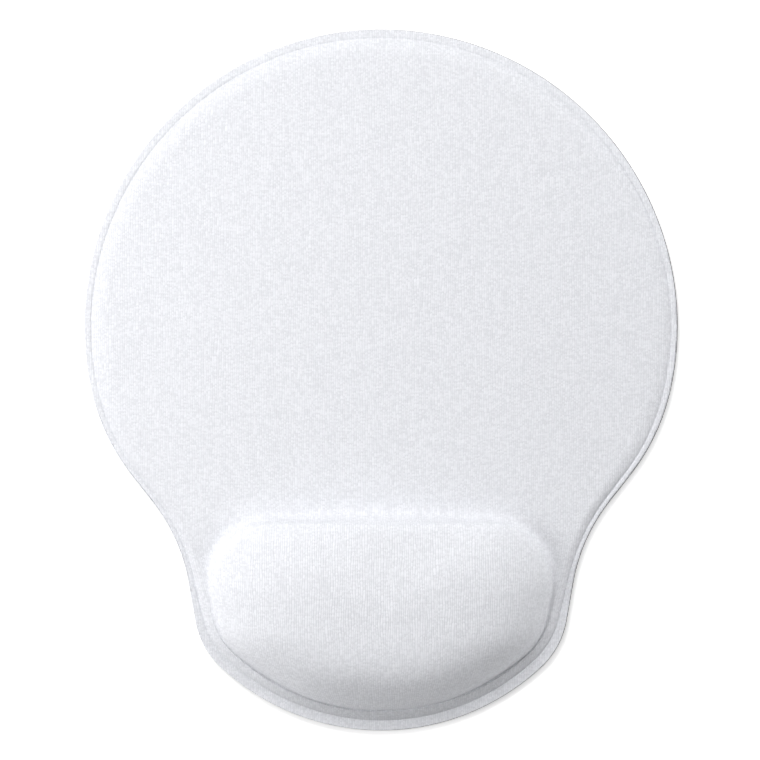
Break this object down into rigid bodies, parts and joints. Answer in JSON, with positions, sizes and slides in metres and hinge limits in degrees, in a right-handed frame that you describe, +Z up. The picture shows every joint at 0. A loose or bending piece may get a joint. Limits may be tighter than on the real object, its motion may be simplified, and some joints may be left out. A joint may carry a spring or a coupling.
{
  "type": "mouse pad with gel wrist rest",
  "caption": "Soft desk mouse pad: a round flat head that narrows at a neck to a raised gel wrist cushion along the near edge, in a knitted cover pressed to a flat rim, on a non-slip base.",
  "frame": {"origin": "on the desk surface, under the middle of the pad's bounding box", "axes": "+X to the user's right, +Y away from the user towards the far edge of the head, +Z up"},
  "size_m": [0.22, 0.26, 0.022],
  "materials": {
    "base_rubber": "matt charcoal rubber with a fine embossed grip pattern",
    "adhesive": "clear pressure-sensitive or hot-melt film",
    "foam": "fine-celled white foam",
    "pouch_film": "clear soft film",
    "gel": "soft translucent gel",
    "knit": "cool white stretch knit with fine lengthwise ribs"
  },
  "bodies": {
    "root": {"nonslip_base": "base_rubber", "base_adhesive": "adhesive", "pad_core": "foam", "cover_film": "adhesive", "cushion_adhesive": "adhesive", "pouch_bottom_film": "pouch_film", "gel_core": "gel", "pouch_top_film": "pouch_film", "knit_cover": "knit"}
  },
  "joints": []
}
